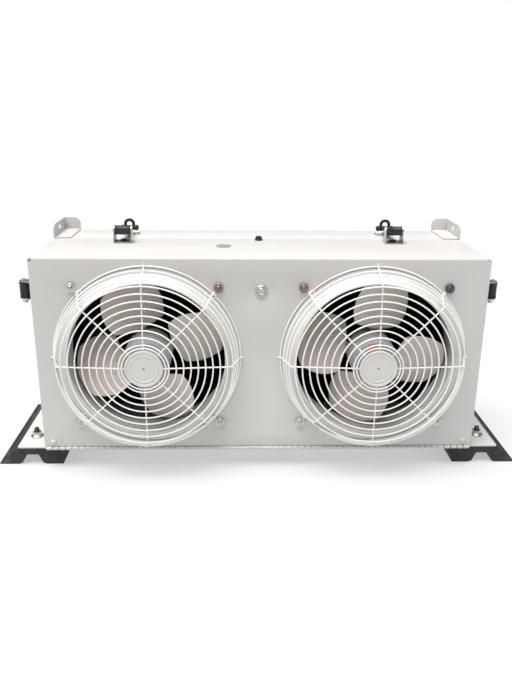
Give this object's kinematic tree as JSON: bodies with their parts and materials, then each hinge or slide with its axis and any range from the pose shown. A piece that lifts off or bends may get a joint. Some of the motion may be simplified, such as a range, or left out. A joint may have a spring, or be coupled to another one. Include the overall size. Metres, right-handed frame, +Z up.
{
  "type": "hydraulic oil cooler",
  "caption": "White sheet-metal oil cooler with twin guarded axial fans on a forward-tilting hood, rubber draw latches and skid rails.",
  "frame": {"origin": "on the ground, under the middle of the bounding box", "axes": "+X to the right seen from the front, -Y towards the fans' front, +Z up"},
  "size_m": [1.058, 0.393, 0.4637],
  "materials": {
    "white_powder_coat": "satin white powder coat",
    "zinc_plate": "zinc plated",
    "black_rubber": "matt black rubber",
    "warm_grey_blade": "satin warm grey paint",
    "grey_motor_paint": "grey motor paint",
    "bare_aluminium": "machined",
    "black_core_paint": "satin black paint on aluminium",
    "bright_steel": "drawn steel rod"
  },
  "bodies": {
    "case": {"base_plate": "white_powder_coat", "left_rail": "black_rubber", "right_rail": "black_rubber", "floor_pan": "white_powder_coat", "rear_case": "white_powder_coat", "rear_frame": "white_powder_coat", "cooler_core": "black_core_paint", "left_tank": "black_core_paint", "right_tank": "black_core_paint", "inlet_port": "bare_aluminium", "outlet_port": "bare_aluminium", "left_corner_bracket": "white_powder_coat", "right_corner_bracket": "white_powder_coat", "hinge_leaf_fixed": "white_powder_coat", "hinge_pin": "bright_steel", "left_front_anchor_bolt": "zinc_plate", "left_front_anchor_nut": "zinc_plate", "left_back_anchor_bolt": "zinc_plate", "left_back_anchor_nut": "zinc_plate", "right_front_anchor_bolt": "zinc_plate", "right_front_anchor_nut": "zinc_plate", "right_back_anchor_bolt": "zinc_plate", "right_back_anchor_nut": "zinc_plate", "left_top_keeper": "zinc_plate", "left_side_keeper": "zinc_plate", "right_top_keeper": "zinc_plate", "right_side_keeper": "zinc_plate"},
    "fan_hood": {"front_panel": "white_powder_coat", "hood_cover": "white_powder_coat", "hinge_leaf_moving": "white_powder_coat", "left_fan_ring": "white_powder_coat", "left_guard": "white_powder_coat", "left_motor": "grey_motor_paint", "right_fan_ring": "white_powder_coat", "right_guard": "white_powder_coat", "right_motor": "grey_motor_paint", "left_top_latch_bracket": "zinc_plate", "left_top_latch_pin": "zinc_plate", "left_side_latch_bracket": "zinc_plate", "left_side_latch_pin": "zinc_plate", "right_top_latch_bracket": "zinc_plate", "right_top_latch_pin": "zinc_plate", "right_side_latch_bracket": "zinc_plate", "right_side_latch_pin": "zinc_plate"},
    "left_fan": {"left_fan_hub": "grey_motor_paint", "left_fan_blade_1": "warm_grey_blade", "left_fan_blade_2": "warm_grey_blade", "left_fan_blade_3": "warm_grey_blade", "left_fan_blade_4": "warm_grey_blade"},
    "right_fan": {"right_fan_hub": "grey_motor_paint", "right_fan_blade_1": "warm_grey_blade", "right_fan_blade_2": "warm_grey_blade", "right_fan_blade_3": "warm_grey_blade", "right_fan_blade_4": "warm_grey_blade"},
    "left_top_latch_rubber": {"left_top_latch_strap": "black_rubber"},
    "left_side_latch_rubber": {"left_side_latch_strap": "black_rubber"},
    "right_top_latch_rubber": {"right_top_latch_strap": "black_rubber"},
    "right_side_latch_rubber": {"right_side_latch_strap": "black_rubber"},
    "centre_screw": {"centre_fastener": "zinc_plate"}
  },
  "joints": [
    {"name": "hood_hinge", "type": "hinge", "parent": "case", "child": "fan_hood", "pos_m": [0, -0.1295, 0.0423], "axis": [1, 0, 0], "range_deg": [0, 60]},
    {"name": "left_fan_spin", "type": "hinge", "parent": "fan_hood", "child": "left_fan", "pos_m": [-0.2172, -0.1095, 0.2375], "axis": [0, 1, 0], "continuous": true},
    {"name": "right_fan_spin", "type": "hinge", "parent": "fan_hood", "child": "right_fan", "pos_m": [0.2172, -0.1095, 0.2375], "axis": [0, 1, 0], "continuous": true},
    {"name": "left_top_latch_swing", "type": "hinge", "parent": "fan_hood", "child": "left_top_latch_rubber", "pos_m": [-0.278, 0.0335, 0.454], "axis": [1, 0, 0], "range_deg": [0, 110]},
    {"name": "left_side_latch_swing", "type": "hinge", "parent": "fan_hood", "child": "left_side_latch_rubber", "pos_m": [-0.455, -0.0775, 0.358], "axis": [0, 0, 1], "range_deg": [0, 110]},
    {"name": "right_top_latch_swing", "type": "hinge", "parent": "fan_hood", "child": "right_top_latch_rubber", "pos_m": [0.278, 0.0335, 0.454], "axis": [1, 0, 0], "range_deg": [0, 110]},
    {"name": "right_side_latch_swing", "type": "hinge", "parent": "fan_hood", "child": "right_side_latch_rubber", "pos_m": [0.455, -0.0775, 0.358], "axis": [0, 0, -1], "range_deg": [0, 110]},
    {"name": "centre_screw_turn", "type": "hinge", "parent": "fan_hood", "child": "centre_screw", "pos_m": [0, -0.1295, 0.368], "axis": [0, 1, 0], "range_deg": [0, 90]}
  ]
}
